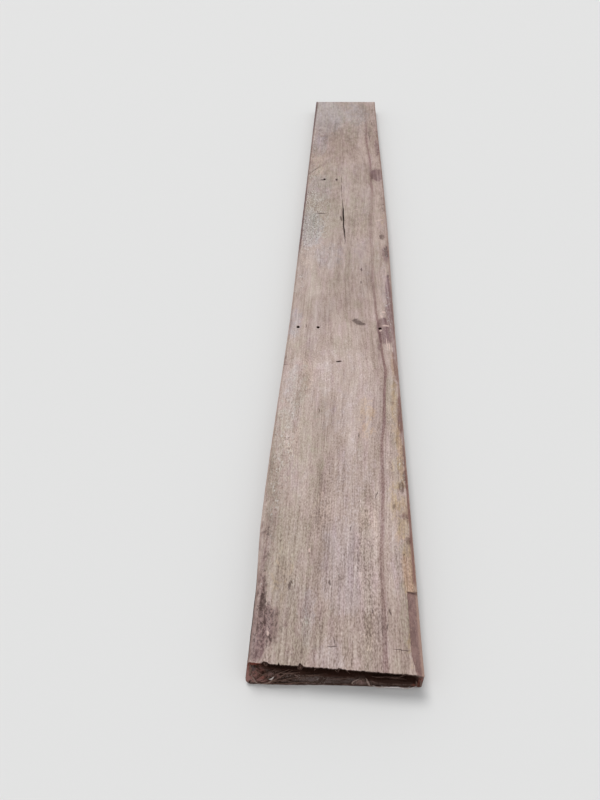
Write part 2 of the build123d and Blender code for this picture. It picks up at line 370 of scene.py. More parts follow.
def bumps(u, v, seed):
    """Smooth noise from -1 to 1 whose bumps are about one unit wide."""
    u, v = np.broadcast_arrays(u, v)
    iu, iv = np.floor(u), np.floor(v)
    fu, fv = ease(u - iu), ease(v - iv)
    first = cell_value(iu, iv, seed) * (1 - fu) + cell_value(iu + 1, iv, seed) * fu
    second = cell_value(iu, iv + 1, seed) * (1 - fu) + cell_value(iu + 1, iv + 1, seed) * fu
    return first * (1 - fv) + second * fv


def layered(u, v, seed, layers=3):
    """Noise from -1 to 1 with finer, weaker noise over it."""
    total, most = 0, 0
    for layer in range(layers):
        total = total + bumps(u * 2**layer, v * 2**layer, seed + 17 * layer) * 0.5**layer
        most += 0.5**layer
    return total / most


def uneven(size, u, v, seed, layers=3):
    """The same noise, from 0 to twice a size."""
    return size * (1 + layered(u, v, seed, layers))


def bell(value, half_wide):
    """A hump of height 1 round 0."""
    return np.exp(-((value / half_wide) ** 2))


def table(rows, along):
    """Reads a table whose places are in millimetres at a distance along the board in metres."""
    places, values = np.array(rows).T
    return np.interp(along, places * MM, values)


def oval(x, along, from_left, place, half_wide, half_long, turn=0):
    """Distance from the centre of an oval, in its own half sizes."""
    dx, dy = x - LEFT - from_left * MM, along - place * MM
    c, s = math.cos(math.radians(turn)), math.sin(math.radians(turn))
    return np.hypot((dx * c + dy * s) / (half_wide * MM), (dy * c - dx * s) / (half_long * MM))


def wane(along):
    """How far the left side's top leans in behind its foot."""
    return WANE * (1 - ease(along, WANE_FROM, WANE_TO))


def left_edge(along, height):
    """X of the left side at a distance along the board and a height."""
    waist = LEFT_BELLY * ease(along, LEFT_BELLY_END, LEFT_WAIST_PLACE)
    far = LEFT_FAR_NARROWING * np.clip((along - LEFT_WAIST_PLACE) / (LENGTH - LEFT_WAIST_PLACE), 0, 1)
    foot = np.clip(1 - height / FOOT_WEAR_HEIGHT, 0, 1) ** 2
    worn_foot = FOOT_WEAR * (1 - ease(along, 0, FOOT_WEAR_REACH)) * foot
    return LEFT + waist + far + worn_foot + wane(along) * height / THICK


def right_edge(along):
    """X of the right side at a distance along the board."""
    crown = RIGHT_CROWN * ease(along, RIGHT_WAIST_PLACE, RIGHT_CROWN_PLACE)
    far = (RIGHT_CROWN + RIGHT_FAR_NARROWING) * ease(along, RIGHT_CROWN_PLACE, LENGTH)
    return RIGHT_LINE + crown - far


def sliver_line(along):
    """X of the inner line of the torn sliver."""
    return SLIVER_LINE + SLIVER_NARROWING * np.clip(1 - along / SLIVER_TAPER, 0, 1) ** 1.5


def sliver_drop(x, along):
    """How far the torn right arris lies below the top face."""
    inner = sliver_line(along)
    slope = (SLIVER_OUTER_DROP - SLIVER_INNER_DROP) * (x - inner) / SLIVER_WIDTH
    return np.where((x > inner) & (along < SLIVER_LENGTH), SLIVER_INNER_DROP + slope, 0)


def streak_x(along):
    """X of the dark streak that wanders along the board."""
    return LEFT + table(STREAK_LINE, along) * MM


def grain_x(x, along):
    """X measured across grain that follows the streak's wander."""
    return x - (streak_x(along) - streak_x(0.0)) * bell(x - streak_x(along), GRAIN_PULL)


def side_wear(along, height, seed):
    """How far a weathered long side lies in behind its sawn line."""
    return uneven(SIDE_WEAR, along / 0.03, height / 0.012, seed)


def torn_mouths(x, along):
    """Depth of the shallow torn wood beside the far spike holes."""
    return sum(TORN_MOUTH_DEPTH * np.clip(1 - oval(x, along, *row) ** 2, 0, 1) for row in TORN_MOUTHS)


def top_relief(x, along):
    """How far the weathered top face lies below its sawn level."""
    across_grain = grain_x(x, along)
    hollow = uneven(0.3 * MM, x / 0.09, along / 0.5, 1)
    ridges = uneven(0.2 * MM, across_grain / 0.0055, along / 0.16, 2, 2)
    furrows = 0.8 * MM * ease(layered(across_grain / 0.0045, along / 0.12, 3, 2), 0.5, 0.9)
    groove = 0.5 * MM * bell(x - streak_x(along), 3 * MM)
    return 0.1 * MM + hollow + ridges + furrows + groove + torn_mouths(x, along)


def end_face(x, height):
    """Distance along the board of the rough near end, apart from its split and chips."""
    across = np.clip((x - LEFT) / (RIGHT_LINE - LEFT), 0, 1)
    up = np.clip(height / THICK, 0, 1)
    top = TOP_LEFT_SET_BACK + (TOP_RIGHT_SET_BACK - TOP_LEFT_SET_BACK) * across
    under = UNDER_RIGHT_SET_BACK * across
    hollow = END_HOLLOW * bell(across - 0.53, 0.17) * (1 - up)
    rough = 1.1 * MM + 1.0 * MM * layered(x / 0.03, height / 0.007, 11)
    rough = rough + 0.5 * MM * layered(x / 0.004, height / 0.02, 12)
    from_left, from_right = (np.clip(gap, 0, 1) for gap in (x - left_edge(0, height), RIGHT_LINE - x))
    rough = rough + LEFT_CORNER_WEAR * np.exp(-from_left / CORNER_WEAR_REACH)
    rough = rough + RIGHT_CORNER_WEAR * np.exp(-from_right / CORNER_WEAR_REACH)
    lump = uneven(2 * MM, x / 0.012, height / 0.009, 13) * np.exp(-(x - LEFT) / 0.03)
    rough = rough + lump * ease(up, 0.1, 0.4)
    calm = 1 - 0.7 * ease(up, 0.84, 0.9)
    return np.maximum(under + (top - under) * ease(up, 0.05, 0.95) + hollow + rough * calm, 0.2 * MM)


def lip_chips(x):
    """How far chips and torn fibres set back the top edge of the near end."""
    torn = uneven(0.6 * MM, x / 0.008, 0, 21) + uneven(0.5 * MM, x / 0.0019, 0, 22, 1)
    for from_left, half_wide, depth in CHIPS:
        reach = np.clip(1 - np.abs((x - LEFT - from_left * MM) / (half_wide * MM)) ** 3, 0, 1)
        torn = torn + depth * MM * np.sqrt(reach) * (1 + 0.35 * bumps(x / 0.0022, 0, 23))
    return torn


# Mesh of the board: rings along its length, closed by a sheet of rows at each end


def stations():
    """Distances along the board of the rings, close near the split end and wider away from it."""
    places = [0.0]
    while places[-1] < LENGTH:
        places.append(places[-1] + ROW_STEP + ROW_GROWTH * places[-1])
    places = np.array(places) * LENGTH / places[-1]
    return with_step(places, SLIVER_LENGTH, 1.5 * MM, 0.3 * MM)


def top_columns():
    """X of the points across the top face of the first ring."""
    columns = np.arange(LEFT + WANE + ARRIS, RIGHT_LINE - ARRIS, COLUMN_STEP)
    columns = with_step(columns, SLIVER_LINE, 0.8 * MM, 0.2 * MM)
    columns[-1] = RIGHT_LINE - ARRIS
    return columns


def with_step(places, middle, clear, half_gap):
    """The places with a close pair at the middle in place of those that lie near it."""
    kept = places[np.abs(places - middle) > clear]
    return np.sort(np.append(kept, [middle - half_gap, middle + half_gap]))


def build_rings():
    """Returns x, distance along and z of the rings' points, and where each part of a ring starts."""
    along = stations()[:, None]
    columns = top_columns()[None, :]
    first, last = columns[0, 0], columns[0, -1]
    top_left, top_right = left_edge(along, THICK) + ARRIS, right_edge(along) - ARRIS
    under_left, under_right = left_edge(along, 0) + UNDER_ARRIS, right_edge(along) - UNDER_ARRIS

    # The top's columns follow both edges and the torn sliver
    x_top = columns + (top_left - first) * (1 - ease(columns, first, first + EDGE_BLEND))
    x_top = x_top + (top_right - last) * ease(columns, last - EDGE_BLEND, last)
    tent = np.clip(1 - np.abs(columns - SLIVER_LINE) / SLIVER_BLEND, 0, 1)
    x_top = x_top + (sliver_line(along) - SLIVER_LINE) * tent

    # Sharp ring, clockwise from its top left corner
    on_sliver = along < SLIVER_LENGTH
    turn = np.radians([[30, 60, 90]])
    back_turn = turn[:, ::-1]
    share = np.linspace(1, 0, SIDE_ROWS + 1)[None, 1:]
    drop = sliver_drop(right_edge(along) - 0.5 * MM, along)
    keen = on_sliver * np.array([[1, 0.6, 0.2]])
    right_fall = ARRIS * (1 - np.cos(turn)) * (1 - keen / 2) + drop
    z_right = UNDER_ARRIS + (THICK - ARRIS - drop - UNDER_ARRIS) * share
    z_left = (UNDER_ARRIS + (THICK - ARRIS - UNDER_ARRIS) * share)[:, ::-1]
    across = np.linspace(0, 1, UNDER_COLUMNS + 1)[None, :]
    parts = (
        (x_top, THICK),
        (top_right + ARRIS * np.sin(turn) + keen * MM, THICK - right_fall),
        (right_edge(along), z_right),
        (under_right + (under_left - under_right) * across, 0),
        (left_edge(along, z_left), z_left),
        (top_left - ARRIS * np.sin(back_turn), THICK - ARRIS * (1 - np.cos(back_turn))),
    )
    parts = [np.broadcast_arrays(*part, along)[:2] for part in parts]
    starts = np.cumsum([0] + [part[0].shape[1] for part in parts])
    x, z = (np.concatenate(side, 1) for side in zip(*parts))
    spans = [slice(*pair) for pair in zip(starts[:-1], starts[1:])]
    top, right_arris, right, under, left, left_arris = spans

    # Near end's slant and chips, then the wear of each part
    back = end_face(x[:1], z[:1])
    for part in (top, right_arris, left_arris):
        back[:, part] += lip_chips(x[:1, part])
    a = along + back * np.clip(1 - along / LEAN_REACH, 0, 1) ** 2
    z[:, top] -= top_relief(x[:, top], a[:, top]) + sliver_drop(x[:, top], along)
    wears = ((right_arris, -1, turn, 32, 1 - 0.7 * on_sliver), (left_arris, 1, back_turn, 36, 1))
    for arris, sense, bend, seed, share in wears:
        worn = uneven(ARRIS_WEAR, a[:, arris] / 0.025, bend, seed) * share
        x[:, arris] += sense * worn * np.sin(bend)
        z[:, arris] -= 0.5 * MM * np.cos(bend) + worn * np.sin(2 * bend)
    x[:, right] -= side_wear(a[:, right], z[:, right], RIGHT_SEED)
    x[:, left] += side_wear(a[:, left], z[:, left], LEFT_SEED)
    hollow = uneven(0.25 * MM, x[:, under] / 0.03, a[:, under] / 0.3, 34)
    z[:, under] += hollow * np.clip(np.minimum(across, 1 - across) * 6, 0, 1)
    return x, a, z, starts


def build_near_sheet(top_level):
    """Returns x, distance along and z of the rough near end, row by row from its lip down."""
    share = np.linspace(0, 1, top_columns().size + NEAR_EXTRA_COLUMNS)[None, :]
    x0 = LEFT + WANE + CAP_INSET + (RIGHT_LINE - LEFT - WANE - 2 * CAP_INSET) * share
    z_top = top_level(x0[0])[None, :] - CAP_INSET
    roof_fall = np.clip((x0 - SLIVER_LINE) / (SPLIT_RIGHT - SLIVER_LINE), 0, 1)
    foot_z = table(SPLIT_FOOT, x0 - LEFT) * MM
    roof = THICK - LIP - 0.9 * MM * layered(x0 / 0.02, 0, 41)
    roof = np.minimum(roof + (foot_z - roof) * roof_fall, z_top - 2 * MM)
    ends = np.clip((x0 - SPLIT_LEFT) / SPLIT_INSET, 0, 1) * np.clip((SPLIT_RIGHT - x0) / SPLIT_INSET, 0, 1)
    foot_z = foot_z + 2.4 * MM * layered(x0 / 0.014, 0, 42) + 1.3 * MM * bumps(x0 / 0.0032, 0, 46)
    foot_z = np.minimum(foot_z, roof - 0.5 * MM)
    depth = SPLIT_DEPTH * np.minimum(ends * 1.6, 1) + 2 * MM * layered(x0 / 0.01, 0, 43) * (ends > 0)

    # Each row's height and how far in it lies: lip, roof, floor of the split, then the end below it
    rows = [(z_top + (roof - z_top) * step, 0) for step in np.linspace(0, 1, LIP_ROWS)]
    for step in (0.3, 0.65):
        rows.append((roof - 0.1 * MM + 0.5 * MM * layered(x0 / 0.004, step, 44), depth * step))
    for step in np.linspace(0, 1, FLOOR_ROWS):
        fibre = 0.7 * MM * layered(x0 / 0.005, step * 2, 45) * math.sin(math.pi * step)
        floor_z = roof - 0.4 * MM + (foot_z - roof + 0.4 * MM) * step + fibre
        rows.append((floor_z, depth * (1 - step) ** 0.85))
    for step in np.linspace(0, 1, LEDGE_ROWS + 1)[1:]:
        rows.append((foot_z + (CAP_INSET - foot_z) * step, 0))
    z, inward = (np.concatenate(side) for side in zip(*(np.broadcast_arrays(*row) for row in rows)))
    inner = left_edge(0, z) + CAP_INSET
    x = inner + (RIGHT_LINE - CAP_INSET - inner) * share
    chips = lip_chips(x)
    chips[LIP_ROWS:] = 0
    return x, end_face(x, z) + chips + inward, z


def build_far_sheet():
    """Returns x, distance along and z of the square far end."""
    share, rise = np.linspace(0, 1, FAR_COLUMNS)[None, :], np.linspace(1, 0, FAR_ROWS)[:, None]
    z = CAP_INSET + (THICK - 3.2 * CAP_INSET) * rise + 0 * share
    inner = left_edge(LENGTH, z) + CAP_INSET
    x = inner + (right_edge(LENGTH) - CAP_INSET - inner) * share
    return x, LENGTH - uneven(0.05 * MM, x / 0.05, z / 0.02, 51), z


def rim_of(grid):
    """The values round the rim of a grid, clockwise from its first corner."""
    return np.concatenate([grid[0], grid[1:, -1], grid[-1, -2::-1], grid[-2:0:-1, 0]])


def link_object(name, data):
    """Makes an object and puts it in the scene."""
    piece = bpy.data.objects.new(name, data)
    bpy.context.scene.collection.objects.link(piece)
    return piece


def store(mesh, name, values, kind="FLOAT", part="value"):
    """Stores a field on the mesh, point by point."""
    layer = mesh.attributes.new(name, kind, "POINT")
    layer.data.foreach_set(part, np.asarray(values, np.float32).ravel())


class Shell:
    """Gathers the board's vertices, faces and places in the bake map."""

    def __init__(self):
        self.points, self.faces, self.places = [], [], []
        self.count = 0

    def add_points(self, x, along, z):
        """Adds a grid of points and returns their numbers."""
        self.points.append(np.stack([x.ravel(), NEAR + along.ravel(), z.ravel()], 1))
        ids = self.count + np.arange(x.size).reshape(x.shape)
        self.count += x.size
        return ids

    def add_sheet(self, ids, rect, flip=False):
        """Adds a quad between each four neighbours of a grid, laid out in a rectangle of the map."""
        u = np.linspace(rect[0], rect[2], ids.shape[0])[:, None] + 0 * ids
        v = np.linspace(rect[1], rect[3], ids.shape[1])[None, :] + 0 * ids
        spots = np.stack([u, v], 2)
        pick = [np.s_[:-1, :-1], np.s_[:-1, 1:], np.s_[1:, 1:], np.s_[1:, :-1]]
        pick = pick[::-1] if flip else pick
        self.faces.append(np.stack([ids[p].ravel() for p in pick], 1))
        self.places.append(np.stack([spots[p].reshape(-1, 2) for p in pick], 1))

    def turns(self, ids, corners):
        """Distance of each point round the section, clockwise from the top left corner."""
        x, _, z = np.concatenate(self.points)[ids].T
        wide = RIGHT - LEFT
        side = np.arange(len(ids))
        lengths = [x - LEFT, wide + THICK - z, wide + THICK + RIGHT - x]
        round_it = np.select([side < corner for corner in corners], lengths, 2 * wide + THICK + z)
        return np.maximum.accumulate(round_it)

    def add_zip(self, ring, ring_corners, sheet, rect, flip=False):
        """Joins a ring to the rim of the sheet inside it by triangles all the way round."""
        rows, cols = sheet.shape
        rim = rim_of(sheet)
        t_rim = self.turns(rim, (cols, cols + rows - 1, 2 * cols + rows - 2))
        t_ring = self.turns(ring, ring_corners)
        rim_u = rim_of(np.linspace(rect[0], rect[2], cols)[None, :] + 0 * sheet)
        rim_v = rim_of(np.linspace(rect[1], rect[3], rows)[:, None] + 0 * sheet)
        middle_u, middle_v = (rect[0] + rect[2]) / 2, (rect[1] + rect[3]) / 2
        ring_u = middle_u + (np.interp(t_ring, t_rim, rim_u) - middle_u) * 1.01
        ring_v = middle_v + (np.interp(t_ring, t_rim, rim_v) - middle_v) * 1.04

        # Each triangle goes on by one point, along the ring or the rim, wherever the next point comes first
        nexts = np.concatenate([t_ring[1:], [np.inf], t_rim[1:], [np.inf]])
        by_ring = np.argsort(nexts, kind="stable") < len(ring)
        i, j = np.cumsum(by_ring) - by_ring, np.cumsum(~by_ring) - ~by_ring

        def corners(on_ring, on_rim):
            third = np.where(by_ring, on_ring[(i + 1) % len(ring)], on_rim[(j + 1) % len(rim)])
            picked = np.stack([on_ring[i % len(ring)], on_rim[j % len(rim)], third], 1)
            return picked[:, ::-1] if flip else picked

        self.faces.append(corners(ring, rim))
        self.places.append(np.stack([corners(ring_u, rim_u), corners(ring_v, rim_v)], 2))

    def build(self, name):
        """Makes the mesh object."""
        mesh = bpy.data.meshes.new(name)
        points = np.concatenate(self.points)
        corners = np.concatenate([f.ravel() for f in self.faces])
        sizes = np.concatenate([np.full(len(f), f.shape[1]) for f in self.faces])
        mesh.vertices.add(len(points))
        mesh.vertices.foreach_set("co", points.ravel())
        mesh.loops.add(len(corners))
        mesh.loops.foreach_set("vertex_index", corners.astype(np.int32))
        mesh.polygons.add(len(sizes))
        mesh.polygons.foreach_set("loop_start", np.append(0, np.cumsum(sizes)[:-1]).astype(np.int32))
        layer = mesh.uv_layers.new(name="OFBake")
        layer.data.foreach_set("uv", np.concatenate([p.ravel() for p in self.places]))
        mesh.update(calc_edges=True)
        mesh.validate()
        return link_object(name, mesh)


def build_board():
    """Makes the closed shell of the board, before its holes."""
    shell = Shell()
    x, along, z, starts = build_rings()
    rings = shell.add_points(x, along, z)
    wrapped = np.concatenate([rings, rings[:, :1]], 1)
    half = len(rings) // 2
    top_end, side_end, under_end = starts[1] - 1, starts[3] - 1, starts[4]
    strips = (
        (np.s_[: half + 1, : top_end + 1], (0.01, 0.01, 0.99, 0.305)),
        (np.s_[half:, : top_end + 1], (0.01, 0.315, 0.99, 0.61)),
        (np.s_[:, top_end : side_end + 1], (0.01, 0.62, 0.99, 0.665)),
        (np.s_[:, side_end : under_end + 1], (0.01, 0.675, 0.99, 0.795)),
        (np.s_[:, under_end:], (0.01, 0.805, 0.99, 0.85)),
    )
    for patch, rect in strips:
        shell.add_sheet(wrapped[patch], rect)
    top = slice(0, starts[1])
    near = shell.add_points(*build_near_sheet(lambda places: np.interp(places, x[0, top], z[0, top])))
    far = shell.add_points(*build_far_sheet())
    shell.add_sheet(near.T, NEAR_RECT)
    shell.add_sheet(far.T, FAR_RECT, flip=True)
    ring_corners = (starts[1] + 1, starts[3], starts[4])
    shell.add_zip(rings[0], ring_corners, near, NEAR_RECT)
    shell.add_zip(rings[-1], ring_corners, far, FAR_RECT, flip=True)
    return shell.build("weathered_board")


# Closed tubes: cutters for the spike holes, the drying check and the gouge, and loose fibres


def turns_of(sides):
    """Angles of the corners of a round section."""
    return np.linspace(0, 2 * math.pi, sides, endpoint=False)


def closed_tube(rings):
    """Vertices and faces of a tube through rings of points, closed at both ends."""
    ids = np.arange(len(rings) * len(rings[0])).reshape(len(rings), -1)
    here, there = ids[:-1], ids[1:]
    sides = np.stack([here, np.roll(here, -1, 1), np.roll(there, -1, 1), there], 2).reshape(-1, 4)
    return np.concatenate(rings), [*sides, ids[0, ::-1], ids[-1]]


def tube_mesh(name, tubes):
    """One mesh of several closed tubes."""
    points, faces = [], []
    for some_points, some_faces in tubes:
        faces.extend((face + len(points)).tolist() for face in some_faces)
        points.extend(some_points.tolist())
    mesh = bpy.data.meshes.new(name)
    mesh.from_pydata(points, [], faces)
    return mesh


def spike_cutter(from_left, place, radius, seed):
    """A slightly uneven pin with a worn, wider mouth at the top."""
    rng = np.random.default_rng(seed)
    turns = turns_of(SPIKE_SIDES)
    wobble = 1 + 0.05 * np.sin(2 * turns + rng.uniform(0, 6)) + 0.03 * rng.standard_normal(SPIKE_SIDES)
    rings = []
    for height, wider in SPIKE_SECTION:
        reach = (radius + wider) * wobble * MM
        x = LEFT + from_left * MM + reach * np.cos(turns)
        y = NEAR + place * MM + reach * np.sin(turns) * (1 + 0.12 * (wider > 0.5))
        rings.append(np.stack([x, y, np.full(SPIKE_SIDES, height * MM)], 1))
    return closed_tube(rings)


def check_cutter():
    """A narrow ragged wedge that follows the drying check."""
    from_left, along, widths = np.array(CHECK_LINE).T
    places = np.linspace(along[0], along[-1], CHECK_STATIONS)
    middle = np.interp(places, along, from_left) + 0.35 * layered(places / 9, 0, 61)
    width = np.interp(places, along, widths) * (1 + 0.25 * layered(places / 14, 0, 62))
    depth = CHECK_DEPTH * np.clip(width / 3.2, 0.12, 1)
    rings = []
    for p, m, w, d in zip(places, middle, width, depth):
        half = ((0.55 * w, THICK + MM), (0.3 * w, THICK - d * 0.6), (0.15, THICK - d))
        section = [*half, *((-s, h) for s, h in reversed(half))]
        rings.append(np.array([(LEFT + (m + s) * MM, NEAR + p * MM, h) for s, h in section]))
    return closed_tube(rings)


def gouge_cutter():
    """A small rough hollow struck across the grain."""
    rng = np.random.default_rng(7)
    turns = turns_of(GOUGE_SIDES)
    middle = (LEFT + GOUGE[0] * MM, NEAR + GOUGE[1] * MM, THICK)
    rings = []
    for tilt in np.radians(np.linspace(-80, 80, 9)):
        ragged = 1 + 0.12 * rng.standard_normal(GOUGE_SIDES)
        dx = GOUGE_RADII[0] * MM * math.cos(tilt) * np.cos(turns) * ragged
        dy = GOUGE_RADII[1] * MM * math.cos(tilt) * np.sin(turns) * ragged + 0.12 * dx
        dz = GOUGE_RADII[2] * MM * math.sin(tilt) + 0 * dx
        rings.append(middle + np.stack([dx, dy, dz], 1))
    return closed_tube(rings)


def cut_holes(board):
    """Cuts every hole from the board at once and keeps the plain mesh that results."""
    spikes = [spike_cutter(*hole, seed) for seed, hole in enumerate(SPIKE_HOLES)]
    mesh = tube_mesh("cutters", [*spikes, check_cutter(), gouge_cutter()])
    layer = mesh.uv_layers.new(name="OFBake")
    spots = [(0.57 + 0.02 * (i % 4 in (1, 2)), 0.89 + 0.06 * (i % 4 > 1)) for i in range(len(mesh.loops))]
    layer.data.foreach_set("uv", np.array(spots).ravel())
    cutter = link_object("cutters", mesh)
    modifier = board.modifiers.new("holes", "BOOLEAN")
    modifier.operation = "DIFFERENCE"
    modifier.solver = "MANIFOLD"
    modifier.object = cutter
    graph = bpy.context.evaluated_depsgraph_get()
    cut = bpy.data.meshes.new_from_object(board.evaluated_get(graph))
    board.modifiers.clear()
    plain, board.data = board.data, cut
    bpy.data.objects.remove(cutter)
    bpy.data.meshes.remove(plain)
    bpy.data.meshes.remove(mesh)
    cut.name = "weathered_board"


def unit(vectors):
    """The vectors at length 1."""
    return vectors / np.linalg.norm(vectors, axis=1)[:, None]


def strand(points, half_wide, half_thick, number):
    """One thin fibre of a bundle that follows a curve through a few points."""
    count = len(points)
    trim = 0.25 * np.array([number % 2, (number + 1) % 2]) * (number > 0)
    steps = np.linspace(trim[0], count - 1 - trim[1], 7 * count)
    curves = [np.polyfit(np.arange(count), values, count - 1) for values in zip(*points)]
    from_left, out, height = (np.polyval(curve, steps) * MM for curve in curves)
    y = NEAR + np.maximum(end_face(LEFT + from_left, height) - out, 0.8 * MM)
    place = np.stack([LEFT + from_left, y, height], 1)
    heading = unit(np.gradient(place, axis=0))
    across = unit(np.cross(heading, (0, 1, 0)))
    facing = np.cross(across, heading)
    share = np.linspace(0, 1, len(steps))
    seed = points[0][0] + 13 * number
    drift = (number - 1) * 0.75 * np.sin(math.pi * share) * (1 + 0.8 * layered(share * 3, seed, 83))
    place = place + across * drift[:, None] * half_wide * MM
    place[:, 2] = np.maximum(place[:, 2], 1.2 * MM)
    ragged = 1 + 0.35 * layered(share * 9, seed, 81)
    slim = (0.12 + 0.88 * np.sin(math.pi * share) ** 0.6) * ragged * STRAND_SHARE * MM
    turns = turns_of(STRAND_SIDES)[:, None]
    rings = []
    for middle, size, sideways, outward in zip(place, slim, across, facing):
        section = sideways * half_wide * np.cos(turns) + outward * half_thick * np.sin(turns)
        rings.append(middle + section * size)
    return closed_tube(rings)


def build_splinters():
    """Makes the loose fibres of the near end as one piece, with how pale each is."""
    strands, pale, run = [], [], []
    for line, half_wide, half_thick, paleness in SPLINTERS:
        for number in range(STRANDS):
            strands.append(strand(line, half_wide, half_thick, number))
            count = len(strands[-1][0])
            pale.extend([paleness - 0.12 * (number != 1)] * count)
            run.extend(i // STRAND_SIDES + 40 * number for i in range(count))
    mesh = tube_mesh("end_splinters", strands)
    store(mesh, "pale", pale)
    store(mesh, "run", run)
    return link_object("end_splinters", mesh)


# What the material reads at each vertex


def stain_field(rows, x, along):
    """Strength of a kind of stain, greatest where its patches are."""
    field = np.zeros(len(x))
    for *patch, strength in rows:
        field = np.maximum(field, strength * ease(1.35 - oval(x, along, *patch), 0, 0.8))
    return field


def rounded(a, b, radius, wear):
    """Depth inside a worn, rounded arris, from the distances to its two faces."""
    depth = radius - np.hypot(np.clip(radius - a, 0, None), np.clip(radius - b, 0, None))
    return depth - np.where((a < radius) & (b < radius * 1.3), wear, 0)


def write_attributes(piece):
    """Stores on the mesh the fields that its material mixes colours by."""
    mesh = piece.data
    co = np.zeros(len(mesh.vertices) * 3)
    mesh.vertices.foreach_get("co", co)
    x, y, z = co.reshape(-1, 3).T
    along = y - NEAR
    on_right = x > 0
    level = THICK - top_relief(x, along) - sliver_drop(x, along) - z
    left_in = x - left_edge(along, z) - side_wear(along, z, LEFT_SEED)
    sides = np.minimum(left_in, right_edge(along) - x - side_wear(along, z, RIGHT_SEED))
    inside = rounded(sides, level, ARRIS, 1.0 * MM)
    inside = np.minimum(inside, rounded(sides, z - 0.25 * MM, UNDER_ARRIS, 0.4 * MM))
    raw = ease(inside, 0.3 * MM, 1.2 * MM)
    near = 1 - ease(along, 50 * MM, 75 * MM)

    # Painted shade in the split and under its lip, down to where its ragged foot lies
    split_shade = ease(along - end_face(x, z), 1.5 * MM, 9 * MM)
    deeper = 11 * MM * ease(x, LEFT + 0.2, LEFT + 0.25) - 7 * MM * (1 - ease(x, LEFT + 0.06, LEFT + 0.11))
    shade_under_lip = ease(level, 4 * MM, 6 * MM) * (1 - ease(level - deeper, 18 * MM, 27 * MM))
    shade_under_lip = shade_under_lip * ease(x, SPLIT_LEFT, SPLIT_LEFT + 0.04) * ease(SPLIT_RIGHT - x, 0, 6 * MM)

    # Growth rings round a pith that wanders below the board
    pith_x, pith_z = 0.03 + 0.03 * np.sin(along * 1.3), -0.17 - 0.03 * np.sin(along * 0.9 + 1)
    torn = ease(x - sliver_line(along), -0.2 * MM, 0.2 * MM) * (along < SLIVER_LENGTH)
    left_foot_highlight = ease(along, 0.02, 0.06) * (1 - ease(along, 0.25, 0.36)) * (x < 0)
    fields = {name: table(rows, along) for name, rows in ALONG.items()}
    fields["torn_strip"] *= on_right
    fields["pale_rim"][on_right] = 1
    fields["dark_rim_shade"][on_right] = 0
    fields["cool"] *= 1 - 0.7 * ease(x, 0.05, 0.13)
    fields |= {
        "ring": np.hypot(x - pith_x, z - pith_z) + 0.002 * layered(along / 0.6, x / 0.1, 71),
        "streak": (x - streak_x(along)) / (table(STREAK_WIDTH, along) * MM),
        "level": level / THICK,
        "cut": ease(inside, 0.25 * MM, 0.9 * MM),
        # Painted shade of the split and under its lip
        "split_shade": np.maximum(split_shade, shade_under_lip * 0.8) * near * raw,
        "sliver": torn * (level < 0.8 * MM),
        "edge": np.minimum(x - left_edge(along, THICK), right_edge(along) - x),
        "vigour": 1 - 0.35 * along / LENGTH,
        # Painted shade deep in the holes, the check and the gouge
        "pit_shade": raw * (1 - near) * (along < LENGTH - 20 * MM),
        "sawn": ease(along, LENGTH - 4 * MM, LENGTH - 2 * MM),
        # Where the left side's foot gets a painted highlight, with a darker band above it
        "left_foot_highlight": left_foot_highlight * ease(level, 3 * MM, 8 * MM),
    }
    fields |= {name: stain_field(rows, x, along) for name, rows in STAINS.items()}
    fields |= {name: near * stain_field(rows, x, z) for name, rows in END_STAINS.items()}
    for name, values in fields.items():
        store(mesh, name, values)
    store(mesh, "wood", np.stack([grain_x(x, along), along, z], 1), "FLOAT_VECTOR", "vector")
    mesh.set_sharp_from_angle(angle=SHARP_ANGLE)


# Materials

DARK_FIBRE = (0.205, 0.142, 0.118)
BASE = (0.474, 0.357, 0.314)
LIGHT_FIBRE = (0.73, 0.603, 0.548)
# Dark dirt, also laid as painted shade beside the drying check and as a darker band on the left foot
DIRT_AND_SHADE = (0.085, 0.055, 0.048)
# Painted shade, the deepest, in the split and the holes
PAINTED_DEEP_SHADE = (0.022, 0.008, 0.004)
RED = (0.26, 0.07, 0.045)
WHITE = (0.66, 0.62, 0.58)
ARRIS_PALE = (0.47, 0.32, 0.26)
TORN_RED = (0.20, 0.095, 0.082)
SIDE = (0.25, 0.178, 0.152)
SIDE_DARK = (0.125, 0.083, 0.07)
UNDERSIDE = (0.30, 0.225, 0.19)
# End grain, dark from weathering and painted darker still for the near end's shade
END_DARK_SHADED = (0.034, 0.014, 0.008)
END_PALE_SHADED = (0.118, 0.074, 0.060)
END_GREY = (0.31, 0.185, 0.165)
# Painted shade in the split under the lip
PAINTED_RECESS_SHADE = (0.032, 0.011, 0.006)
ROSY = (0.37, 0.19, 0.165)
PALE_SPOT = (0.72, 0.54, 0.48)
CRUST_PALE = (0.38, 0.265, 0.24)
SLATE = (0.075, 0.066, 0.064)
TORN = (0.235, 0.132, 0.120)
# Dark torn wood, also laid as painted shade along the left edge
TORN_DARK_AND_SHADE = (0.14, 0.082, 0.078)
SAWN_DARK = (0.10, 0.066, 0.052)
SAWN_PALE = (0.27, 0.195, 0.16)
LOOSE_DARK = (0.045, 0.022, 0.016)
LOOSE_BROWN = (0.19, 0.115, 0.09)
LOOSE_PALE = (0.45, 0.365, 0.325)
LOOSE_WHITE = (0.8, 0.74, 0.72)
SHEEN = 0.14

# What each stain multiplies the wood's own colour by
TINTS = {
    "pale": (1.21, 1.20, 1.18),
    "lilac": (1.03, 1.06, 1.13),
    "brown": (0.84, 0.83, 0.81),
    "blue": (0.93, 0.99, 1.06),
    "green": (0.91, 0.955, 0.89),
    "ochre": (1.01, 0.905, 0.73),
    "purple": (0.50, 0.41, 0.455),
    "dirt": (0.30, 0.26, 0.25),
}
STREAK_TINT = (0.52, 0.41, 0.43)
MOSSY = (0.985, 1.01, 0.95)
MAUVE = (1.01, 0.99, 1.02)
COOL = (0.99, 1.05, 1.07)
PORE_TINT = (0.6, 0.55, 0.52)


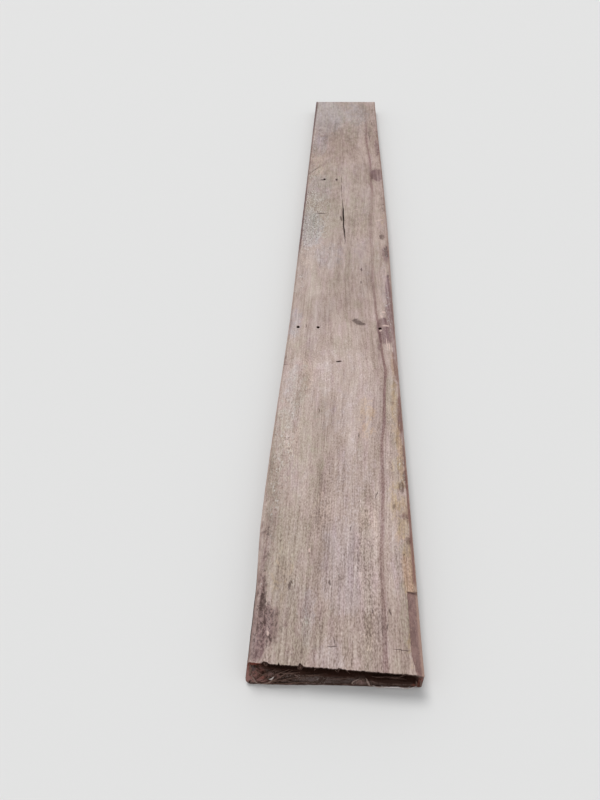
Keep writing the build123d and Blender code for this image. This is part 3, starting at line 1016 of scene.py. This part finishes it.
class Nodes:
    """Short ways to add and link nodes in one material."""

    def __init__(self, name):
        self.material = bpy.data.materials.new(name)
        self.material.use_nodes = True
        self.tree = self.material.node_tree
        self.shader = self.tree.nodes["Principled BSDF"]

    def add(self, kind, inputs, output=0, **settings):
        """Adds a node, sets it up, feeds its inputs and returns one of its outputs."""
        node = self.tree.nodes.new(kind)
        for name, value in settings.items():
            setattr(node, name, value)
        for key, value in inputs.items():
            self.feed(node.inputs[key], value)
        return node.outputs[output]

    def feed(self, socket, value):
        """Links a value to a socket, or sets it there if it is a constant."""
        if isinstance(value, bpy.types.NodeSocket):
            self.tree.links.new(value, socket)
        elif socket.type == "RGBA":
            socket.default_value = (*value, 1)
        else:
            socket.default_value = value

    def read(self, name, vector=False):
        """Reads a field stored on the mesh."""
        return self.add("ShaderNodeAttribute", {}, "Vector" if vector else "Fac", attribute_name=name)

    def math(self, operation, *values):
        """Adds a sum on numbers."""
        return self.add("ShaderNodeMath", dict(enumerate(values)), operation=operation)

    def vector(self, operation, *values, output=0):
        """Adds a sum on vectors."""
        return self.add("ShaderNodeVectorMath", dict(enumerate(values)), output, operation=operation)

    def total(self, *parts):
        """Adds up a few values."""
        return functools.reduce(lambda a, b: self.math("ADD", a, b), parts)

    def product(self, *parts):
        """Multiplies a few values."""
        return functools.reduce(lambda a, b: self.math("MULTIPLY", a, b), parts)

    def noise(self, vector, stretch, detail=2.0, roughness=0.5, warp=0.0):
        """Noise over a stretched vector, about 0.5 in the mean."""
        inputs = {"Scale": 1.0, "Detail": detail, "Roughness": roughness, "Distortion": warp}
        inputs["Vector"] = self.vector("MULTIPLY", vector, stretch)
        return self.add("ShaderNodeTexNoise", inputs)

    def slope(self, value, start, end, least=0.0, most=1.0, kind="LINEAR"):
        """Goes evenly from least to most while the value goes from start to end."""
        inputs = {"Value": value, "From Min": start, "From Max": end, "To Min": least, "To Max": most}
        return self.add("ShaderNodeMapRange", inputs, interpolation_type=kind)

    def band(self, *values):
        """Goes smoothly in the same way."""
        return self.slope(*values, kind="SMOOTHSTEP")

    def swing(self, value, size, field=None):
        """A noise value centred on zero and scaled, by a stored field too if one is named."""
        centred = self.product(self.math("SUBTRACT", value, 0.5), size)
        return self.product(centred, self.read(field)) if field else centred

    def swings(self, *rows):
        """Total of several noise values, each centred and scaled."""
        result = self.swing(*rows[0])
        for row in rows[1:]:
            result = self.total(result, self.swing(*row))
        return result

    def mix(self, factor, a, b, blend="MIX"):
        """Mixes two colours."""
        return self.add("ShaderNodeMix", {0: factor, 6: a, 7: b}, 2, data_type="RGBA", blend_type=blend)

    def paint(self, colour, *rows, where=None, blend="MIX"):
        """Lays colours over one. A row has a value, its band's start, end and most, and a colour."""
        for value, start, end, most, paint in rows:
            share = self.band(value, start, end, 0, most)
            share = share if where is None else self.product(share, where)
            colour = self.mix(share, colour, paint, blend)
        return colour

    def mark_field(self, vector, marks):
        """Greatest of soft oval spots, each at its place with its half sizes and turn."""
        total = 0.0
        for from_left, place, half_wide, half_long, turn in marks:
            centre = (LEFT + from_left * MM, NEAR + place * MM)
            cosine, sine = math.cos(math.radians(turn)), math.sin(math.radians(turn))
            across = self.along_axis(vector, centre, (cosine, sine), half_wide * MM)
            lengthwise = self.along_axis(vector, centre, (-sine, cosine), half_long * MM)
            square = self.math("MULTIPLY_ADD", lengthwise, lengthwise, self.product(across, across))
            total = self.math("MAXIMUM", total, self.band(square, 1.56, 0.25))
        return total

    def along_axis(self, vector, centre, axis, half_size):
        """How far a place lies from a centre along an axis, in half sizes."""
        scaled = (axis[0] / half_size, axis[1] / half_size, 0)
        reach = self.vector("DOT_PRODUCT", vector, scaled, output="Value")
        return self.math("SUBTRACT", reach, centre[0] * scaled[0] + centre[1] * scaled[1])

    def finish(self, colour, roughness, height, distance, strength):
        """Feeds the shader of a dry, rough surface and returns its material."""
        bump = self.add("ShaderNodeBump", {"Height": height, "Distance": distance, "Strength": strength})
        self.shader.inputs["Specular IOR Level"].default_value = SHEEN
        for name, value in (("Base Color", colour), ("Roughness", roughness), ("Normal", bump)):
            self.feed(self.shader.inputs[name], value)
        return self.material


def board_material():
    """Old grey hardwood: fibres, rings, stains, marks, raw ends (the near one painted darker for its
    shade), and painted shade in the split and holes.
    """
    n = Nodes("weathered_hardwood")
    wood = n.read("wood", vector=True)
    cut, level = n.read("cut"), n.read("level")
    fibre = n.noise(wood, (380, 14, 380), 3, 0.62)
    fine = n.noise(wood, (900, 150, 900), 2, 0.6)
    strand = n.noise(wood, (120, 2.6, 120), 3, 0.6)
    cloud = n.noise(wood, (14, 3.2, 14), 3, 0.55, 0.3)
    pores = n.noise(wood, (2300, 130, 2300), 1)
    grit = n.noise(wood, (700, 520, 700), 3, 0.6)
    rings = n.noise(n.add("ShaderNodeCombineXYZ", {0: n.read("ring")}), (330, 1, 1), 3, 0.6)
    blotch = n.noise(wood, (48, 15, 48), 4, 0.62, 0.4)
    fleck = n.noise(wood, (400, 185, 400), 2, 0.6)
    speck = n.noise(wood, (250, 120, 250), 1)
    soft = n.noise(wood, (9, 2.4, 9), 3, 0.55, 0.6)
    patchy = n.noise(wood, (62, 34, 62), 5, 0.66, 0.6)
    coarse = n.noise(wood, (115, 38, 115), 1)
    broad = n.noise(wood, (21, 1.7, 21), 1)

    # Weathered long faces: grain of many sizes, from dark to light, with faint tinges
    grain = n.swings(
        (fleck, 1.0, "flecks"), (fibre, 0.95, "streaks"), (strand, 0.5), (coarse, 1.0, "grain"),
        (broad, 1.0, "broad"), (fine, 0.5), (blotch, 0.36), (patchy, 0.2), (rings, 0.26),
    )
    tone = n.total(n.product(grain, n.read("vigour")), n.swing(soft, 0.5), n.total(n.read("tone"), 0.5))
    colour = n.mix(n.slope(tone, 0.1, 0.5), DARK_FIBRE, BASE)
    colour = n.mix(n.slope(tone, 0.5, 1.0), colour, LIGHT_FIBRE)
    warm = n.noise(wood, (23, 6, 23), 3, 0.6, 0.5)
    tinges = ((warm, 0.5, 0.66, 0.5, TINTS["lilac"]), (warm, 0.48, 0.34, 0.55, TINTS["green"]))
    colour = n.paint(colour, *tinges, blend="MULTIPLY")
    tinge = n.noise(wood, (75, 13, 75), 3, 0.6)
    mossy_or_mauve = n.mix(n.slope(tinge, 0.4, 0.6), MOSSY, MAUVE)
    colour = n.mix(n.slope(tinge, 0.35, 0.65), colour, mossy_or_mauve, "MULTIPLY")
    colour = n.mix(n.read("cool"), colour, COOL, "MULTIPLY")
    colour = n.paint(colour, (pores, 0.6, 0.7, 0.45, PORE_TINT), blend="MULTIPLY")

    # Stains, each with a ragged edge
    ragged = n.swings((patchy, 1.9), (fleck, 0.8), (cloud, 0.6))
    for name, tint in TINTS.items():
        field = n.read(name)
        reach = n.product(n.band(n.total(field, ragged), 0.2, 0.7), n.band(field, 0.0, 0.15))
        colour = n.mix(n.product(reach, n.band(strand, 0.62, 0.36, 0.62, 1)), colour, tint, "MULTIPLY")

    # Lichen, crust and specks
    field = n.read("lichen")
    lichen = n.band(n.total(field, n.swings((patchy, 2.4), (blotch, 1.2))), 0.15, 0.9)
    lichen = n.product(lichen, n.band(field, 0.0, 0.2))
    mottle = n.noise(wood, (280, 100, 280), 3, 0.62)
    scab = n.noise(wood, (260, 150, 260), 3, 0.65, 0.5)
    colour = n.paint(
        colour, (mottle, 0.53, 0.68, 0.75, WHITE), (mottle, 0.47, 0.33, 0.85, DARK_FIBRE),
        (grit, 0.56, 0.66, 0.6, WHITE), (speck, 0.62, 0.72, 0.9, WHITE), (speck, 0.36, 0.26, 0.6, DIRT_AND_SHADE),
        where=lichen,
    )
    crusts = (scab, 0.5, 0.62, 0.75, CRUST_PALE), (scab, 0.48, 0.36, 0.75, DIRT_AND_SHADE)
    colour = n.paint(colour, *crusts, where=n.read("crust"))
    colour = n.paint(colour, (speck, 0.73, 0.8, 0.5, WHITE), (speck, 0.27, 0.2, 0.5, DIRT_AND_SHADE))

    # Streak: a soft halo and a dark core
    streak = n.math("ABSOLUTE", n.total(n.read("streak"), n.swing(strand, 0.5)))
    shape = n.math("MAXIMUM", n.band(streak, 2.0, 0.8, 0, 0.35), n.band(streak, 1.05, 0.5))
    shape = n.product(shape, n.band(fleck, 0.3, 0.7, 1, 0.8), n.read("streak_strength"))
    colour = n.mix(shape, colour, STREAK_TINT, "MULTIPLY")

    # Long edges
    edge = n.total(n.read("edge"), n.swing(strand, 0.012))
    arris = n.total(n.read("edge"), n.swing(fleck, 0.006))
    colour = n.paint(colour, (edge, 0.008, 0.003, 0.4, SIDE))
    # Painted shade along the far part of the left edge
    colour = n.paint(colour, (edge, 0.012, 0.004, 1, TORN_DARK_AND_SHADE), where=n.read("dark_rim_shade"))
    colour = n.paint(colour, (edge, 0.0085, 0.005, 0.75, TORN_RED), where=n.read("torn_strip"))
    colour = n.paint(colour, (arris, 0.0026, 0.0012, 0.75, ARRIS_PALE), where=n.read("pale_rim"))

    # Marks, at places swayed by noise
    position = n.add("ShaderNodeTexCoord", {}, "Object")
    jitter = n.add("ShaderNodeTexNoise", {"Vector": position, "Scale": 160.0, "Detail": 2.0}, "Color")
    jitter = n.vector("SUBTRACT", jitter, (0.5, 0.5, 0.5))
    flat = n.vector("MULTIPLY", n.vector("MULTIPLY_ADD", jitter, (0.006, 0.006, 0), position), (1, 1, 0))
    on_top = n.band(level, 0.1, 0.04)
    # Dark marks: dirt, and painted shade beside the drying check
    colour = n.mix(n.product(n.mark_field(flat, DARK_MARKS_AND_SHADE), on_top, 0.72), colour, DIRT_AND_SHADE)
    colour = n.mix(n.product(n.mark_field(flat, PALE_MARKS), on_top, 0.75), colour, PALE_SPOT)

    # Torn wood where the sliver came away
    torn = n.mix(n.slope(tone, 0.2, 1.1, 0, 0.3), TORN, BASE)
    torn = n.paint(
        torn, (patchy, 0.4, 0.58, 0.6, TORN_DARK_AND_SHADE), (mottle, 0.52, 0.66, 0.35, ARRIS_PALE),
        (grit, 0.56, 0.7, 0.4, BASE), (arris, 0.007, 0.002, 0.7, ARRIS_PALE),
    )
    colour = n.paint(colour, (n.read("sliver"), 0.3, 0.7, 0.95, torn))

    # Sides and underside
    side_fibre = n.swings((fibre, 1.6), (fine, 1.2), (strand, 0.7), (fleck, 1.1), (patchy, 0.7))
    side_cracks = n.noise(wood, (90, 1.5, 260), 2, 0.6)
    side = n.mix(n.band(side_fibre, -0.45, 0.4), SIDE_DARK, SIDE)
    side = n.paint(
        side, (side_fibre, 0.15, 0.75, 0.7, BASE), (cloud, 0.52, 0.66, 0.4, RED),
        (patchy, 0.55, 0.7, 0.45, UNDERSIDE), (side_cracks, 0.66, 0.7, 0.75, DIRT_AND_SHADE),
    )
    # Left side near the near end: a darker band, then a painted highlight along its bottom arris
    foot = n.product(n.read("left_foot_highlight"), n.band(fibre, 0.2, 0.5, 0.75, 1))
    side = n.paint(side, (level, 0.93, 0.84, 0.85, DIRT_AND_SHADE), (level, 0.9, 0.955, 0.8, WHITE), where=foot)
    underside = n.mix(n.band(fibre, 0.35, 0.62), DARK_FIBRE, UNDERSIDE)
    underside = n.paint(underside, (strand, 0.62, 0.42, 0.4, SIDE))
    colour = n.paint(colour, (level, 0.05, 0.14, 1, side), (level, 0.955, 0.985, 1, underside))

    # Raw near end: dark weathered end grain, painted darker still for the shade the end stands in
    smear = n.noise(wood, (100, 60, 170), 4, 0.65, 0.8)
    end_tone = n.swings((rings, 0.8), (smear, 2.2), (grit, 1.1))
    raw = n.mix(n.band(end_tone, -0.32, 0.26), END_DARK_SHADED, END_PALE_SHADED)
    raw = n.paint(raw, (end_tone, 0.22, 0.55, 0.8, END_GREY))
    raw = n.paint(raw, (n.total(n.read("rust"), n.swing(smear, 2.6)), 0.4, 1.0, 0.7, RED))
    ashen = n.total(n.read("ashen"), n.swing(smear, 2.0))
    raw = n.paint(raw, (ashen, 0.45, 0.95, 0.75, END_GREY), where=n.band(grit, 0.36, 0.56))
    raw = n.paint(raw, (grit, 0.58, 0.68, 0.85, WHITE), where=n.read("ashen"))
    raw = n.paint(raw, (grit, 0.68, 0.76, 0.5, WHITE))
    raw = n.paint(raw, (n.total(n.read("rosy"), n.swing(smear, 1.8)), 0.4, 1.1, 0.8, ROSY))
    raw = n.paint(raw, (n.total(n.read("slate"), n.swing(smear, 2.0)), 0.4, 1.1, 0.75, SLATE))

    # Sawn far end, then painted shade deep in the holes and in the split
    kerf = n.noise(wood, (24, 1, 900), 2, 0.6, 0.2)
    sawn_tone = n.swings((rings, 1.0), (grit, 0.9), (kerf, 1.1), (cloud, 0.8))
    raw = n.mix(n.read("sawn"), raw, n.mix(n.band(sawn_tone, -0.45, 0.45), SAWN_DARK, SAWN_PALE))
    # Painted shade: the walls of the holes, the check and the gouge go black below the top
    raw = n.paint(raw, (level, 0.02, 0.1, 1, PAINTED_DEEP_SHADE), where=n.read("pit_shade"))
    colour = n.mix(cut, colour, raw)
    # Painted shade in the split, made ragged by noise
    shade = n.total(n.read("split_shade"), n.swings((grit, 0.7), (smear, 0.8)))
    colour = n.paint(colour, (shade, 0.15, 0.5, 0.96, PAINTED_RECESS_SHADE), (shade, 0.55, 1.0, 0.9, PAINTED_DEEP_SHADE))

    roughness = n.band(fibre, 0.3, 0.7, 0.95, 0.78)
    height = n.math("SUBTRACT", n.total(fibre, n.product(fine, 0.45)), n.band(pores, 0.62, 0.7, 0, 0.35))
    height = n.total(height, n.product(grit, cut, 1.6))
    return n.finish(colour, roughness, height, 0.7 * MM, 0.8)


def splinter_material():
    """Loose fibres, from dark brown to nearly white, streaked along their length."""
    n = Nodes("loose_fibre")
    streaks = n.noise(n.add("ShaderNodeTexCoord", {}, "Object"), (900, 900, 900), 3, 0.6)
    lengthwise = n.add("ShaderNodeCombineXYZ", {0: n.read("run"), 1: n.read("pale")})
    along = n.noise(lengthwise, (0.45, 7, 1), 2, 0.6)
    pale = n.total(n.read("pale"), n.swings((streaks, 0.5), (along, 0.9)))
    colour = n.mix(n.band(pale, -0.1, 0.5), LOOSE_DARK, LOOSE_BROWN)
    colour = n.paint(colour, (pale, 0.45, 1.2, 1, LOOSE_PALE), (pale, 1.1, 1.5, 1, LOOSE_WHITE))
    return n.finish(colour, n.band(streaks, 0.3, 0.7, 0.95, 0.75), streaks, 0.4 * MM, 0.7)


# Stage: floor, lamps and camera

FLOOR_HALF_SIZE = 14.0
FLOOR_DEPTH = 0.3 * MM
FLOOR_COLOUR = (0.78, 0.775, 0.765, 1)
BACKDROP_COLOUR = (0.775, 0.772, 0.765, 1)
SKY_COLOUR = (0.97, 0.985, 1.0, 1)
SKY_STRENGTH = 0.62
SUN_STRENGTH = 1.35
SUN_SPREAD = math.radians(25)
SUN_TURN = (math.radians(-28), math.radians(-12), 0)
CAMERA_PLACE = (-0.01275, -1.874, 1.115)
CAMERA_PITCH, CAMERA_YAW, CAMERA_ROLL = math.radians(43.49), math.radians(-4.36), math.radians(1.48)
CAMERA_LENS = 27.9


def build_floor():
    """A plain pale floor that the board lies on."""
    mesh = bpy.data.meshes.new("floor")
    signs = ((-1, -1), (1, -1), (1, 1), (-1, 1))
    corners = [(FLOOR_HALF_SIZE * x, FLOOR_HALF_SIZE * y, -FLOOR_DEPTH) for x, y in signs]
    mesh.from_pydata(corners, [], [(0, 1, 2, 3)])
    material = bpy.data.materials.new("pale_floor")
    material.use_nodes = True
    shader = material.node_tree.nodes["Principled BSDF"]
    shader.inputs["Base Color"].default_value = FLOOR_COLOUR
    shader.inputs["Roughness"].default_value = 0.9
    mesh.materials.append(material)
    link_object("floor", mesh)


def build_light():
    """An even pale sky and a soft high sun beyond the far end."""
    world = bpy.data.worlds.new("sky")
    world.use_nodes = True
    nodes, link = world.node_tree.nodes, world.node_tree.links.new
    sky, backdrop = nodes["Background"], nodes.new("ShaderNodeBackground")
    sky.inputs["Color"].default_value = SKY_COLOUR
    sky.inputs["Strength"].default_value = SKY_STRENGTH
    backdrop.inputs["Color"].default_value = BACKDROP_COLOUR
    path = nodes.new("ShaderNodeLightPath")
    seen = path.outputs["Is Camera Ray"]
    for ray in ("Is Glossy Ray", "Is Transmission Ray"):
        either = nodes.new("ShaderNodeMath")
        either.operation = "MAXIMUM"
        link(seen, either.inputs[0])
        link(path.outputs[ray], either.inputs[1])
        seen = either.outputs[0]
    choice = nodes.new("ShaderNodeMixShader")
    for index, output in enumerate((seen, sky.outputs[0], backdrop.outputs[0])):
        link(output, choice.inputs[index])
    link(choice.outputs[0], nodes["World Output"].inputs["Surface"])
    bpy.context.scene.world = world
    lamp = bpy.data.lights.new("sun", "SUN")
    lamp.energy = SUN_STRENGTH
    lamp.angle = SUN_SPREAD
    link_object("sun", lamp).rotation_euler = SUN_TURN


def build_camera():
    """The photograph's own view, from above the near end."""
    pitch, yaw, roll = CAMERA_PITCH, CAMERA_YAW, CAMERA_ROLL
    ahead = np.array([math.sin(yaw) * math.cos(pitch), math.cos(yaw) * math.cos(pitch), -math.sin(pitch)])
    level = np.array([math.cos(yaw), -math.sin(yaw), 0])
    down = np.cross(ahead, level)
    side = math.cos(roll) * level + math.sin(roll) * down
    foot = math.cos(roll) * down - math.sin(roll) * level
    lens = bpy.data.cameras.new("camera")
    lens.lens = CAMERA_LENS
    lens.clip_end = 100
    camera = link_object("camera", lens)
    turned = Matrix(np.stack([side, -foot, -ahead], 1).tolist()).to_4x4()
    camera.matrix_world = Matrix.Translation(CAMERA_PLACE) @ turned
    bpy.context.scene.camera = camera


board = build_board()
cut_holes(board)
write_attributes(board)
board.data.materials.clear()
board.data.materials.append(board_material())
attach(board, "root")
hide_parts("hardwood_board")

splinters = build_splinters()
splinters.data.materials.append(splinter_material())
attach(splinters, "root")

build_floor()
build_light()
build_camera()
bpy.context.scene.view_settings.view_transform = "Standard"
